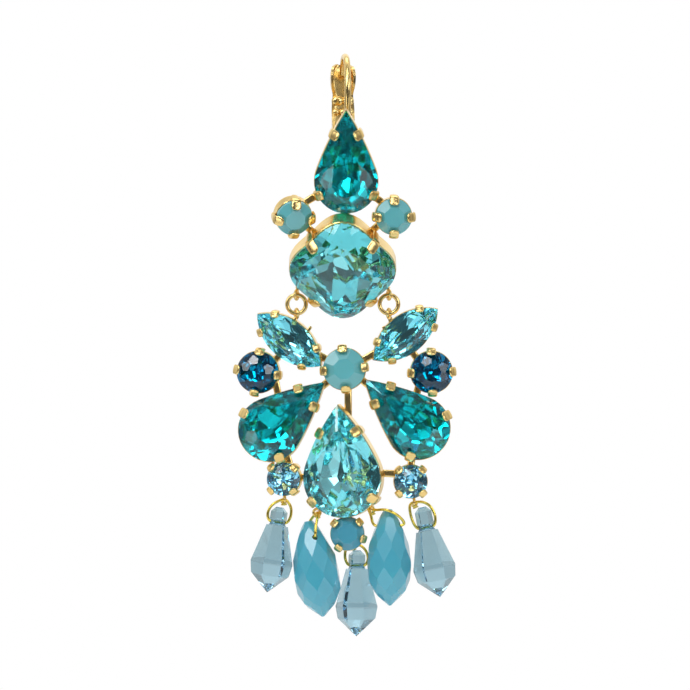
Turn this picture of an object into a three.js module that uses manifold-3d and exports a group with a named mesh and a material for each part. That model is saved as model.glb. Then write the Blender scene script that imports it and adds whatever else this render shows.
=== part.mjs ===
// A chandelier earring on a lever-back (sleeper) ear hook: gilt brass settings with foiled crystals,
// opaque turquoise stones and five wire-hung drops.
// Units are millimetres. +Z is up and the face looks along -Y. The origin is the underside of the
// hook's crown, where the wire rests in the ear.

import * as THREE from "three";
import { ConvexGeometry } from "three/addons/geometries/ConvexGeometry.js";
import { mergeVertices } from "three/addons/utils/BufferGeometryUtils.js";
import Module from "manifold-3d";

const wasm = await Module();
wasm.setup();

const RIGHT_ANGLE = Math.PI / 2;
const rad = THREE.MathUtils.degToRad;
const point = (x, y, z) => new THREE.Vector3(x, y, z);

// ---------------------------------------------------------------- driving dimensions

const SEAT_GAP = 0.07; // between a stone and the metal that holds it
const WALL = 0.4; // thickness of a setting's wall
const WALL_PROUD = 0.12; // how far a setting's wall stands outside its stone's outline
const BACK_SHARE = 0.42; // size of a setting's back, of its stone
const PRONG_THICK = 0.36;
const GIRDLE = 0.12; // half the height of a stone's girdle band
const BAR = 0.95; // width of a connecting bar
const BAR_DEPTH = 0.8;
const WIRE_R = 0.18; // drop wires
const HOOK_R = 0.42; // ear hook wire
const HOOK_YAW = 5; // degrees that the hook is soldered out of square
const RING = { radius: 1.18, wire: 0.26 }; // jump rings that carry the pendant
const EYE = { radius: 0.56, wire: 0.2 }; // soldered eyes that the jump rings pass through
const LUG = { radius: 0.46, wire: 0.17 }; // small soldered rings that the drop wires pass through
const SWING = { y: -1.35, z: -29.72 }; // the line that the pendant swings about
const PIVOT = { y: 2.1, z: -11.7, pin: 0.34, hole: 0.44 }; // the lever's hinge
const KNUCKLE_HALF = 0.95; // half the width of the hinge knuckle between the lever's cheeks

// ---------------------------------------------------------------- outlines, in the plane of a stone

// A circle.
function roundOutline({ width, points }) {
  return new THREE.Path().absarc(0, 0, width / 2, 0, 2 * Math.PI).getSpacedPoints(points).slice(0, -1);
}

// A pear: a round end about the origin, and two long arcs that meet it smoothly and cross at the tip.
function pearOutline({ width, length, tipAngle, points }) {
  const r = width / 2;
  const tip = length - r;
  const sine = Math.sin(rad(tipAngle));
  const side = (tip * tip - r * r) / (2 * (tip * sine - r)); // radius of the long arcs
  const centre = new THREE.Vector2(-side * Math.cos(rad(tipAngle)), tip - side * sine);
  const meet = Math.atan2(-centre.y, -centre.x);
  const sidePoints = Math.round(points / 5);
  const rightArc = new THREE.Path().absarc(centre.x, centre.y, side, meet, rad(tipAngle));
  const right = rightArc.getSpacedPoints(sidePoints);
  const left = right.map((p) => new THREE.Vector2(-p.x, p.y)).reverse();
  const endArc = new THREE.Path().absarc(0, 0, r, Math.PI - meet, 2 * Math.PI + meet);
  const end = endArc.getSpacedPoints(points - 2 * sidePoints);
  return [...right, ...left.slice(1), ...end.slice(1, -1)];
}

// A navette: two equal arcs that cross at both tips.
function navetteOutline({ width, length, points }) {
  const a = length / 2;
  const b = width / 2;
  const side = (a * a + b * b) / (2 * b);
  const half = Math.asin(a / side);
  const arc = new THREE.Path().absarc(b - side, 0, side, -half, half);
  const right = arc.getSpacedPoints(points / 2).slice(0, -1);
  return [...right, ...right.map((p) => new THREE.Vector2(-p.x, -p.y))];
}

// A cushion standing on its corner: a square with bowed sides and well rounded corners.
function cushionOutline({ width, roundness, points }) {
  const r = width / 2;
  return Array.from({ length: points }, (_, i) => {
    const t = (2 * Math.PI * i) / points;
    const away = r * (1 - roundness * Math.sin(2 * t) ** 2);
    return new THREE.Vector2(away * Math.cos(t), away * Math.sin(t));
  });
}

// How far the outline reaches in a direction.
function reach(outline, azimuth) {
  return Math.max(...outline.map((p) => p.x * Math.cos(azimuth) + p.y * Math.sin(azimuth)));
}

// The outline moved outwards by a distance, or inwards if it is negative.
function offset(outline, distance) {
  return outline.map((p, i) => {
    const before = outline.at(i - 1);
    const after = outline[(i + 1) % outline.length];
    const a = p.clone().sub(before).normalize();
    const b = after.clone().sub(p).normalize();
    const normal = new THREE.Vector2(a.y + b.y, -a.x - b.x).normalize();
    const spread = Math.max(normal.x * a.y - normal.y * a.x, 0.55); // keeps a sharp tip from running away
    return p.clone().addScaledVector(normal, distance / spread);
  });
}

// Where a ray from the origin leaves the outline, and the direction that the edge faces there.
function edgeAt(outline, azimuth) {
  const ray = new THREE.Vector2(Math.cos(azimuth), Math.sin(azimuth));
  for (let i = 0; i < outline.length; i++) {
    const a = outline[i];
    const edge = outline[(i + 1) % outline.length].clone().sub(a);
    const cross = ray.cross(edge);
    const along = a.cross(edge) / cross;
    const share = a.cross(ray) / cross;
    if (along > 0 && share >= 0 && share < 1) {
      return { at: ray.multiplyScalar(along), facing: Math.atan2(-edge.x, edge.y) };
    }
  }
}

// ---------------------------------------------------------------- cuts of stone

// Slopes are in degrees from the girdle plane. mains are the directions that the large facets face,
// with 90 towards the tip. prongs are the directions of the prongs from the middle.
const roundMains = [0, 45, 90, 135, 180, 225, 270, 315];
const crossProngs = [0, 90, 180, 270];
const pearMains = [26, -18, -54, -90, -126, -162, 154];
const CUTS = {
  pear: {
    outline: pearOutline, width: 8.0, length: 13.1, tipAngle: 32, points: 16,
    mains: pearMains, crownSlope: 36, crown: 1.35, star: 20, pavilionSlope: 38, pavilion: 2.9,
    prongs: [75, 105, -25, -155], prongWidth: 1.0, prongLength: 1.25,
  },
  bigPear: {
    outline: pearOutline, width: 9.9, length: 14.2, tipAngle: 42, points: 16,
    mains: [34, -4, -38, -90, -142, -176, 146], crownSlope: 38, crown: 1.6, star: 22,
    pavilionSlope: 36, pavilion: 3.1,
    prongs: [67, 113, -35, -145], prongWidth: 1.15, prongLength: 1.4,
  },
  cushion: {
    outline: cushionOutline, width: 13.4, roundness: 0.15, points: 16,
    mains: roundMains, crownSlope: 34, crown: 1.9, star: 18, pavilionSlope: 36, pavilion: 3.9,
    prongs: [45, 135, 225, 315], prongWidth: 1.35, prongLength: 1.7,
  },
  navette: {
    outline: navetteOutline, width: 4.9, length: 10.3, points: 12,
    mains: [0, 38, 142, 180, 218, 322], crownSlope: 36, crown: 1.0, pavilionSlope: 40, pavilion: 1.9,
    prongs: [66, 114, -66, -114], prongWidth: 0.75, prongLength: 0.85,
  },
  round: {
    outline: roundOutline, width: 5.3, points: 12,
    mains: roundMains, crownSlope: 37, crown: 1.0, pavilionSlope: 42, pavilion: 2.2,
    prongs: crossProngs, prongWidth: 0.8, prongLength: 0.8,
  },
  smallRound: {
    outline: roundOutline, width: 4.2, points: 12,
    mains: roundMains, crownSlope: 37, crown: 0.8, pavilionSlope: 42, pavilion: 1.75,
    prongs: crossProngs, prongWidth: 0.75, prongLength: 0.75,
  },
  topRound: {
    outline: roundOutline, width: 4.6, points: 12,
    mains: roundMains, crownSlope: 34, crown: 0.85, pavilionSlope: 40, pavilion: 1.8,
    prongs: crossProngs, prongWidth: 0.85, prongLength: 1.0,
  },
};

// One row for each set stone. x, y and z place the middle of its girdle; turn is the way its tip
// points, anticlockwise from up; pitch tips its face down, and yaw turns its face to the right. prongs
// stands in for the cut's own where the maker set them otherwise.
const TEAL = { color: 0x0e8f93, roughness: 0.08, metalness: 0.2 };
const AQUA = { color: 0x8fd8de, roughness: 0.06, metalness: 0.1 };
const SKY = { color: 0x7fbfe6, roughness: 0.06, metalness: 0.1 };
const NAVY = { color: 0x17598c, roughness: 0.06, metalness: 0.2 };
const TURQUOISE = { color: 0x67b2bb, roughness: 0.3, metalness: 0 };
const UPPER = [
  { name: "top_pear", cut: "pear", stone: TEAL, x: 0.15, y: -5.2, z: -15.55,
    turn: 0, pitch: 11, yaw: 0 },
  { name: "top_round_left", cut: "topRound", stone: TURQUOISE, x: -6.4, y: -5.0, z: -20.05,
    turn: 2, pitch: 26, yaw: 14 },
  { name: "top_round_right", cut: "topRound", stone: TURQUOISE, x: 6.15, y: -5.0, z: -19.9,
    turn: 0, pitch: 8, yaw: 4 },
  { name: "cushion", cut: "cushion", stone: AQUA, x: -0.3, y: -3.9, z: -26.7,
    turn: 0, pitch: 28, yaw: 0 },
];
const LOWER = [
  { name: "navette_left", cut: "navette", stone: AQUA, x: -7.1, y: -2.0, z: -35.45,
    turn: 50.6, pitch: 5, yaw: -8 },
  { name: "navette_right", cut: "navette", stone: AQUA, x: 7.65, y: -2.2, z: -34.75,
    turn: -51.5, pitch: 3, yaw: 3 },
  { name: "dark_round_left", cut: "round", stone: NAVY, x: -11.05, y: -1.9, z: -39.5,
    turn: -8, pitch: 2, yaw: -7 },
  { name: "dark_round_right", cut: "round", stone: NAVY, x: 10.95, y: -2.3, z: -39.5,
    turn: 2, pitch: 2, yaw: 2 },
  { name: "centre_round", cut: "round", stone: TURQUOISE, x: -0.1, y: -2.5, z: -39.1,
    turn: 5, pitch: 0, yaw: -3 },
  { name: "pear_left", cut: "pear", stone: TEAL, x: -9.5, y: -2.5, z: -46.75,
    turn: -49, pitch: -3, yaw: -4, prongs: [75, 105, -21, -163] },
  { name: "pear_right", cut: "pear", stone: TEAL, x: 9.3, y: -2.6, z: -46.5,
    turn: 48.2, pitch: -2, yaw: 2 },
  { name: "centre_pear", cut: "bigPear", stone: AQUA, x: -0.4, y: -3.3, z: -52.9,
    turn: 3.4, pitch: 2, yaw: -11 },
  { name: "small_round_left", cut: "smallRound", stone: SKY, x: -7.8, y: -2.2, z: -53.0,
    turn: 43, pitch: 4, yaw: -12 },
  { name: "small_round_right", cut: "smallRound", stone: SKY, x: 8.3, y: -2.9, z: -53.3,
    turn: 46, pitch: 2, yaw: 2 },
  { name: "bottom_round", cut: "smallRound", stone: TURQUOISE, x: 0.3, y: -2.3, z: -59.9,
    turn: 0, pitch: 0, yaw: 0, prongs: [44, 141, 238, 342] },
];

// Short bars soldered behind the settings, each from one towards the next and middled on the point (x, z).
const UPPER_BARS = [
  { from: "top_pear", to: "top_round_left", x: -4.6, z: -17.8, length: 3.6 },
  { from: "top_pear", to: "top_round_right", x: 4.2, z: -17.7, length: 3.6 },
  { from: "top_round_left", to: "cushion", x: -4.4, z: -21.5, length: 3.2 },
  { from: "top_round_right", to: "cushion", x: 3.9, z: -21.2, length: 3.2 },
  { from: "top_pear", to: "cushion", x: 0.1, z: -19.9, length: 4 },
];
const LOWER_BARS = [
  { from: "centre_round", to: "navette_left", x: -2.8, z: -37.6, length: 3.2 },
  { from: "centre_round", to: "navette_right", x: 2.9, z: -37.6, length: 3.2 },
  { from: "centre_round", to: "pear_left", x: -2.4, z: -40.9, length: 3.6 },
  { from: "centre_round", to: "pear_right", x: 2.3, z: -40.6, length: 3.6 },
  { from: "centre_round", to: "centre_pear", x: 0.4, z: -43.2, length: 5 },
  { from: "dark_round_left", to: "navette_left", x: -8.6, z: -37.7, length: 3 },
  { from: "dark_round_right", to: "navette_right", x: 8.7, z: -37.2, length: 3 },
  { from: "dark_round_left", to: "pear_left", x: -8.6, z: -41.6, length: 3.4 },
  { from: "dark_round_right", to: "pear_right", x: 9.2, z: -41.7, length: 3 },
  { from: "pear_left", to: "small_round_left", x: -7.2, z: -50.5, length: 3 },
  { from: "pear_right", to: "small_round_right", x: 8.4, z: -50.8, length: 2.8 },
  { from: "small_round_left", to: "centre_pear", x: -5.5, z: -52.8, length: 2 },
  { from: "small_round_right", to: "centre_pear", x: 5.5, z: -52.3, length: 3.2 },
  { from: "centre_pear", to: "bottom_round", x: 0.2, z: -57.9, length: 2.6 },
];

// The five drops. lug is the soldered ring that each hangs from, hole the middle of its drilled hole,
// lean tips its point to the right, and spin turns the hole about its length, 0 being left to right.
// bow carries the wire's right leg past the front of the drop. neck is how far the drop's top is
// above its hole.
const DROPS = [
  { name: "clear_drop_left", kind: "clear", under: "small_round_left",
    lug: [-7.65, -1.0, -55.6], hole: [-8.5, -1.0, -58.45],
    lean: -8.7, spin: 8, bow: 0, neck: 1.9, width: 1 },
  { name: "turquoise_drop_left", kind: "turquoise", under: "centre_pear",
    lug: [-3.55, -1.1, -57.25], hole: [-4.3, -1.1, -60.4],
    lean: 8.7, spin: -72, bow: 0, neck: 2.1, width: 1.05 },
  { name: "clear_drop_centre", kind: "clear", under: "bottom_round",
    lug: [1.05, 0.3, -61.3], hole: [1.5, 0.3, -63.95],
    lean: -0.5, spin: -10, bow: 0, neck: 1.9, width: 1 },
  { name: "turquoise_drop_right", kind: "turquoise", under: "centre_pear",
    lug: [3.45, -1.5, -56.8], hole: [5.5, -1.7, -58.9],
    lean: 1, spin: -14, bow: -1.3, neck: 2.1, width: 1 },
  { name: "clear_drop_right", kind: "clear", under: "small_round_right",
    lug: [8.75, -1.5, -55.95], hole: [10.25, -1.5, -59.1],
    lean: 11.4, spin: -4, bow: 0, neck: 2.6, width: 1 },
];

// The jump rings, by their distance from the middle.
const JUMP_RINGS = [{ name: "jump_ring_left", x: -6.12 }, { name: "jump_ring_right", x: 5.55 }];

// ---------------------------------------------------------------- joining and cutting

// A closed three.js geometry as a manifold-3d solid, moved by a matrix.
function solidOf(geometry, matrix = new THREE.Matrix4()) {
  const bare = new THREE.BufferGeometry().setAttribute("position", geometry.getAttribute("position").clone());
  if (geometry.index) bare.setIndex(geometry.index.clone());
  const merged = mergeVertices(bare.applyMatrix4(matrix), 1e-5);
  return new wasm.Manifold(new wasm.Mesh({
    numProp: 3,
    vertProperties: merged.attributes.position.array,
    triVerts: new Uint32Array(merged.index.array),
  }));
}

// Several closed geometries joined into one solid.
const joined = (geometries, matrix) =>
  geometries.map((g) => solidOf(g, matrix)).reduce((all, one) => all.add(one));

function geometryOf(solid) {
  const mesh = solid.getMesh();
  return new THREE.BufferGeometry()
    .setAttribute("position", new THREE.BufferAttribute(mesh.vertProperties, mesh.numProp))
    .setIndex(new THREE.BufferAttribute(mesh.triVerts, 1));
}

// ---------------------------------------------------------------- faceted stones

// The points where planes { normal, away } meet and no other plane cuts them off.
function corners(planes) {
  const found = [];
  const matrix = new THREE.Matrix3();
  for (let i = 0; i < planes.length; i++)
    for (let j = i + 1; j < planes.length; j++)
      for (let k = j + 1; k < planes.length; k++) {
        const [a, b, c] = [planes[i], planes[j], planes[k]];
        matrix.set(...a.normal, ...b.normal, ...c.normal);
        if (Math.abs(matrix.determinant()) < 1e-6) continue;
        const p = point(a.away, b.away, c.away).applyMatrix3(matrix.invert());
        const inside = planes.every((q) => q.normal.dot(p) < q.away + 1e-6);
        if (inside && found.every((f) => f.distanceTo(p) > 1e-3)) found.push(p);
      }
  return found;
}

// A plane that faces azimuth, its slope measured from the girdle plane, through a point at height z
// that lies away from the axis.
function facet(azimuth, slope, away, z) {
  const out = Math.sin(slope);
  const normal = point(Math.cos(azimuth) * out, Math.sin(azimuth) * out, Math.cos(slope));
  return { normal, away: away * out + z * Math.cos(slope) };
}

// The facets between neighbouring mains, close to the table.
function starFacets(mains, height, slope) {
  return mains.map((a, i) => {
    const b = mains[(i + 1) % mains.length];
    const level = { normal: point(0, 0, 1), away: height };
    const matrix = new THREE.Matrix3().set(...a.normal, ...b.normal, ...level.normal).invert();
    const ridge = point(a.away, b.away, level.away).applyMatrix3(matrix);
    const azimuth = Math.atan2(a.normal.y + b.normal.y, a.normal.x + b.normal.x);
    return facet(azimuth, slope, ridge.x * Math.cos(azimuth) + ridge.y * Math.sin(azimuth), height);
  });
}

// A set stone, its table facing +Z and its tip towards +Y, or the room for it if grown by the seat gap.
function stoneGeometry(cut, grow = 0) {
  const outline = cut.outline(cut);
  const azimuths = cut.mains.map(rad).sort((a, b) => a - b);
  const girdle = outline.map((p, i) => {
    const edge = outline[(i + 1) % outline.length].clone().sub(p);
    return facet(Math.atan2(-edge.x, edge.y), RIGHT_ANGLE, (p.x * edge.y - p.y * edge.x) / edge.length(), 0);
  });
  const mains = azimuths.map((a) => facet(a, rad(cut.crownSlope), reach(outline, a), GIRDLE));
  const stars = cut.star ? starFacets(mains, 0.62 * cut.crown, rad(cut.star)) : [];
  const under = azimuths.map((a) => facet(a, Math.PI - rad(cut.pavilionSlope), reach(outline, a), -GIRDLE));
  const table = { normal: point(0, 0, 1), away: cut.crown };
  const culet = { normal: point(0, 0, -1), away: cut.pavilion };
  const planes = [...girdle, ...mains, ...stars, ...under, table, culet];
  return new ConvexGeometry(corners(planes.map(({ normal, away }) => ({ normal, away: away + grow }))));
}

// Where a row's stone sits: its local +Z, the way that it faces, points along -Y before it is tipped.
function seatMatrix({ x, y, z, turn, pitch, yaw }) {
  return new THREE.Matrix4().makeTranslation(x, y, z)
    .multiply(new THREE.Matrix4().makeRotationZ(rad(yaw)))
    .multiply(new THREE.Matrix4().makeRotationX(RIGHT_ANGLE + rad(pitch)))
    .multiply(new THREE.Matrix4().makeRotationZ(rad(turn)));
}

// ---------------------------------------------------------------- metal shapes

// A setting's outside: a straight wall under the girdle and a tapered back.
function settingGeometry(cut) {
  const outline = cut.outline(cut);
  const wall = offset(outline, WALL_PROUD);
  const back = outline.filter((_, i) => i % 2).map((p) => p.clone().multiplyScalar(BACK_SHARE));
  return new ConvexGeometry([
    ...wall.map((p) => point(p.x, p.y, -GIRDLE - 0.18)),
    ...wall.map((p) => point(p.x, p.y, -barDepth(cut))),
    ...back.map((p) => point(p.x, p.y, -cut.pavilion - WALL)),
  ]);
}

// How deep behind its girdle a setting's straight wall ends and its bars are soldered.
const barDepth = (cut) => 0.55 * cut.pavilion + 0.6;

// A prong: a strip that rises from the wall and is bent down over the stone's edge. Local +X faces out.
function prongGeometry(cut) {
  const slope = rad(cut.crownSlope + 4);
  const inner = SEAT_GAP + 0.03; // from the stone's outline to the inner face
  const bend = GIRDLE + 0.1;
  const reachIn = cut.prongLength * Math.cos(slope);
  const tip = new THREE.Vector2(inner - reachIn, bend + cut.prongLength * Math.sin(slope));
  const profile = new THREE.Shape([
    new THREE.Vector2(inner, -0.55 * cut.pavilion),
    new THREE.Vector2(inner + PRONG_THICK, -0.55 * cut.pavilion + 0.3),
    new THREE.Vector2(inner + PRONG_THICK, bend + 0.15),
    new THREE.Vector2(tip.x + 0.1, tip.y + 0.3),
    tip,
    new THREE.Vector2(inner, bend),
  ]);
  return new THREE.ExtrudeGeometry(profile, { depth: cut.prongWidth, bevelEnabled: false })
    .translate(0, 0, -cut.prongWidth / 2)
    .rotateX(RIGHT_ANGLE);
}

// A row's prongs, in their places.
function prongsOf(row) {
  const cut = CUTS[row.cut];
  const outline = cut.outline(cut);
  return (row.prongs ?? cut.prongs).map((azimuth) => {
    const { at, facing } = edgeAt(outline, rad(azimuth));
    const place = seatMatrix(row)
      .multiply(new THREE.Matrix4().makeTranslation(at.x, at.y, 0))
      .multiply(new THREE.Matrix4().makeRotationZ(facing));
    return prongGeometry(cut).applyMatrix4(place);
  });
}

// A straight bar of box section between two points, its wide face to the front.
function bar(from, to, width = BAR, depth = BAR_DEPTH) {
  const along = to.clone().sub(from);
  const up = along.clone().normalize();
  const side = up.clone().cross(point(0, 1, 0)).normalize();
  const place = new THREE.Matrix4().makeBasis(side, up, side.clone().cross(up));
  const middle = from.clone().add(to).multiplyScalar(0.5);
  return new THREE.BoxGeometry(width, along.length(), depth).applyMatrix4(place.setPosition(middle));
}

// A tube of round section along a smooth path.
function tube(points, radius, steps, sides) {
  const section = new THREE.Path().absarc(0, 0, radius, 0, 2 * Math.PI).getSpacedPoints(sides).slice(0, -1);
  const extrudePath = new THREE.CatmullRomCurve3(points);
  return new THREE.ExtrudeGeometry(new THREE.Shape(section), { steps, bevelEnabled: false, extrudePath });
}

// A plate whose outline is drawn as (y, z), between two values of x.
function plate(shape, fromX, toX) {
  const turn = new THREE.Matrix4().makeBasis(point(0, 1, 0), point(0, 0, 1), point(1, 0, 0));
  return new THREE.ExtrudeGeometry(shape, { depth: toX - fromX, bevelEnabled: false })
    .applyMatrix4(turn)
    .translate(fromX, 0, 0);
}

// A flat strip bent along a (y, z) path, half a width to each side of x = 0.
function strip(path, width, thickness) {
  const curve = new THREE.SplineCurve(path.map(([y, z]) => new THREE.Vector2(y, z)));
  const middle = curve.getSpacedPoints(path.length * 2);
  const [front, back] = [-1, 1].map((sign) => middle.map((p, i) => {
    const tangent = curve.getTangentAt(i / (middle.length - 1)).multiplyScalar(sign * thickness / 2);
    return new THREE.Vector2(p.x - tangent.y, p.y + tangent.x);
  }));
  return plate(new THREE.Shape([...front, ...back.reverse()]), -width / 2, width / 2);
}

// A rod along X.
const rod = (radius, half, y, z, sides = 12) =>
  new THREE.CylinderGeometry(radius, radius, 2 * half, sides).rotateZ(RIGHT_ANGLE).translate(0, y, z);

// A ring whose hole runs along X, turned about Z by an angle.
const sideRing = (r, x, y, z, turn = 0) =>
  new THREE.TorusGeometry(r.radius, r.wire, 4, 9).rotateY(RIGHT_ANGLE).rotateZ(rad(turn)).translate(x, y, z);

// ---------------------------------------------------------------- soldered frames

// The middle of the back of a row's setting.
const behind = (row) => point(0, 0, -barDepth(CUTS[row.cut])).applyMatrix4(seatMatrix(row));

// All the settings of one frame with their prongs and bars, and the room for each stone cut out.
function frameSolid(rows, bars, extras) {
  const settings = rows.map((row) => settingGeometry(CUTS[row.cut]).applyMatrix4(seatMatrix(row)));
  const stones = rows.map((row) => stoneGeometry(CUTS[row.cut], SEAT_GAP).applyMatrix4(seatMatrix(row)));
  const struts = bars.map(({ from, to, x, z, length }) => {
    const [start, end] = [from, to].map((name) => behind(rows.find((row) => row.name === name)));
    const half = end.clone().sub(start).setLength(length / 2);
    const middle = point(x, (start.y + end.y) / 2, z);
    return bar(middle.clone().sub(half), middle.clone().add(half));
  });
  return joined([...settings, ...rows.flatMap(prongsOf), ...struts, ...extras]).subtract(joined(stones));
}

// The hook: round wire from behind the top setting, forward and up over the ear, ending in the lever's head.
const HOOK_PATH = [
  [-0.6, -12.3], [-1.1, -10.9], [-1.9, -9.5], [-2.9, -7.7], [-3.7, -5.9], [-4.1, -4.3], [-4.05, -2.9],
  [-3.5, -1.4], [-2.4, -0.2], [-1.2, 0.28], [0, HOOK_R], [1.1, 0.3], [2.05, -0.25], [2.75, -1.0],
  [3.15, -1.9],
];
// The base strip: from the hook's foot it curves down and back to the hinge.
const BASE_PATH = [[-0.95, -11.5], [-0.5, -12.7], [0.2, -13.5], [1.1, -13.8], [1.85, -13.3], [2.1, -12.2]];

const hookTurn = new THREE.Matrix4().makeRotationZ(rad(HOOK_YAW));

function earHook() {
  return [
    tube(HOOK_PATH.map(([y, z]) => point(0, y, z)), HOOK_R, 24, 7),
    strip(BASE_PATH, 2 * KNUCKLE_HALF, 0.5),
    rod(0.78, KNUCKLE_HALF, PIVOT.y, PIVOT.z),
    bar(point(0, -2.35, -14.2), point(0, -2.35, -11.9), 1.9, 3.2), // solder behind the top setting
  ].map((g) => g.applyMatrix4(hookTurn));
}

// The eyes beside the cushion that the jump rings pass through, each on a short stalk.
function cushionEyes() {
  const { y, z } = SWING;
  return JUMP_RINGS.flatMap(({ x }) => [
    sideRing(EYE, x, y, z),
    bar(point(x, y, z + EYE.radius + 0.15), point(0.66 * x, y, z + 2.4), 0.6, 0.6),
  ]);
}

// The eyes on top of the navettes, and the lugs that carry the drops, each with a short stalk.
function pendantEyes() {
  const below = SWING.z - 2 * RING.radius;
  const eyes = JUMP_RINGS.flatMap(({ x }) => [
    sideRing(EYE, x, SWING.y, below),
    bar(point(1.02 * x, SWING.y, below - 0.5), point(1.08 * x, SWING.y, below - 1.6), 0.6, 0.7),
  ]);
  const lugs = DROPS.flatMap(({ lug, spin, under }) => {
    const from = point(...lug);
    const toward = behind(LOWER.find((row) => row.name === under)).sub(from).normalize();
    const [start, end] = [LUG.radius, 2.2].map((length) => from.clone().addScaledVector(toward, length));
    return [sideRing(LUG, ...lug, spin), bar(start, end, 0.5, 0.5)];
  });
  return [...eyes, ...lugs];
}

// ---------------------------------------------------------------- lever

// The lever's spine runs from its tail in front of the hinge, up behind the ear, to the head.
const SPINE_PATH = [
  [0.75, -11.0], [1.4, -10.6], [2.2, -9.6], [2.85, -8.2], [3.25, -6.5], [3.55, -4.8], [3.9, -3.0],
  [4.2, -1.6], [4.6, -0.6],
];
// The side walls below the collars, and the two leaves that guard the hook's tip, as (y, z) outlines.
const CHEEK = [
  [3.4, -6.6], [2.6, -6.6], [2.3, -8.2], [1.7, -9.8], [1.35, -11.3], [1.5, -12.1],
  [2.1, -12.45], [2.7, -12.1], [3.05, -10.8], [3.45, -8.8],
];
const LEAF = [[4.3, -2.2], [3.9, -0.9], [3.1, -0.6], [2.45, -1.3], [2.5, -2.6], [3.0, -4.2], [3.8, -4.2]];
const COLLARS = [{ y: 3.45, z: -5.05, height: 1.0 }, { y: 3.2, z: -6.55, height: 0.7 }];

function leverSolid() {
  const outline = (points) => new THREE.Shape(points.map(([y, z]) => new THREE.Vector2(y, z)));
  const pair = (points, inner, outer) => [
    plate(outline(points), inner, outer),
    plate(outline(points), -outer, -inner),
  ];
  const collar = ({ y, z, height }) => new THREE.BoxGeometry(2.9, 1.05, height).translate(0, y, z);
  const spine = strip(SPINE_PATH, 2.3, 0.45);
  return joined([spine, ...pair(CHEEK, 1.05, 1.45), ...pair(LEAF, 0.85, 1.25), ...COLLARS.map(collar)])
    .subtract(solidOf(rod(PIVOT.hole, 3, PIVOT.y, PIVOT.z)));
}

// ---------------------------------------------------------------- drops

// Rows of flat facets round an upright axis: each row faces out at height z, away from the axis.
function turnedFacets(rows, count) {
  return rows.flatMap(({ z, away, tilt, half }) => Array.from({ length: count }, (_, i) => {
    const azimuth = (2 * Math.PI * (i + (half ? 0.5 : 0))) / count;
    return facet(azimuth, rad(90 - tilt), away, z);
  }));
}

// Heights are from the drilled hole, at 0. loop gives the wire's way out of the hole and up to the
// lug: how far to the side, how high for a neck of 1, and how much of the lug's own offset is added.
const DROP_KINDS = {
  clear: {
    colour: { color: 0xb8d2e2, roughness: 0.03, metalness: 0 },
    body: ({ neck, width }) => [
      new ConvexGeometry(corners([
        ...turnedFacets([
          { z: -0.45, away: 1.2, tilt: 13.5, half: true },
          { z: -5.1, away: 2.36, tilt: -9, half: true },
          { z: -6.9, away: 2.2, tilt: -46 },
          { z: -6.9, away: 2.02, tilt: -44, half: true },
        ], 6),
        { normal: point(0, 0, 1), away: -0.45 },
      ])),
      new ConvexGeometry(corners([
        ...turnedFacets([
          { z: -0.5, away: 0.96 * width, tilt: 1, half: true },
          { z: neck - 0.6, away: 0.93 * width, tilt: 42, half: true },
        ], 6),
        { normal: point(0, 0, 1), away: neck }, { normal: point(0, 0, -1), away: 0.8 },
      ])),
    ],
    loop: [[0.9, 0, 0], [1.36, 0.12, 0], [1.48, 0.55, 0.1], [1.25, 1.12, 0.42], [0.5, 1.42, 0.95]],
  },
  turquoise: {
    colour: { color: 0x55adc4, roughness: 0.28, metalness: 0 },
    body: ({ neck, width }) => [
      new ConvexGeometry(corners([
        ...turnedFacets([
          { z: 1.4, away: 0.9 * width, tilt: 34 },
          { z: -0.6, away: 1.8 * width, tilt: 23, half: true },
          { z: -2.6, away: 2.38 * width, tilt: 13 },
          { z: -4.8, away: 2.62 * width, tilt: 1, half: true },
          { z: -6.7, away: 2.45 * width, tilt: -14 },
          { z: -8.2, away: 1.9 * width, tilt: -30, half: true },
          { z: -9.2, away: 1.05 * width, tilt: -46 },
        ], 8),
        { normal: point(0, 0, 1), away: neck }, { normal: point(0, 0, -1), away: 10.1 },
      ])),
    ],
    loop: [[1.5, 0, 0], [2.02, 0.17, 0], [1.85, 0.62, 0.2], [1.3, 1.05, 0.6], [0.5, 1.38, 0.95]],
  },
};

// Takes a drop's own frame, its hole at the origin, to its place.
function dropMatrix({ hole, lean, spin }) {
  return new THREE.Matrix4().makeTranslation(...hole)
    .multiply(new THREE.Matrix4().makeRotationY(rad(-lean)))
    .multiply(new THREE.Matrix4().makeRotationZ(rad(spin)));
}

function dropSolid(drop) {
  const hole = solidOf(new THREE.CylinderGeometry(0.36, 0.36, 8, 8).rotateZ(RIGHT_ANGLE));
  return joined(DROP_KINDS[drop.kind].body(drop)).subtract(hole);
}

// The wire through a drop: one closed loop through its hole and its lug.
function wireGeometry(drop) {
  const top = point(...drop.lug).applyMatrix4(dropMatrix(drop).invert());
  const leg = (side) => DROP_KINDS[drop.kind].loop.map(([out, up, share]) => {
    const bow = side > 0 ? drop.bow * 4 * share * (1 - share) : 0;
    return point(side * out + share * top.x, share * top.y + bow, Math.min(up * drop.neck, 0.95 * top.z));
  });
  const path = [point(0, 0, 0), ...leg(1), top, ...leg(-1).reverse()];
  return new THREE.TubeGeometry(new THREE.CatmullRomCurve3(path, true), 20, WIRE_R, 4, true);
}

// ---------------------------------------------------------------- the earring

const GILT = new THREE.MeshStandardMaterial({ color: 0xd9ae55, roughness: 0.25, metalness: 1 });
const earring = new THREE.Group();

function addPiece(name, geometry, material, place = new THREE.Matrix4()) {
  const mesh = new THREE.Mesh(geometry, material);
  mesh.name = name;
  mesh.applyMatrix4(place);
  earring.add(mesh);
}

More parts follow.
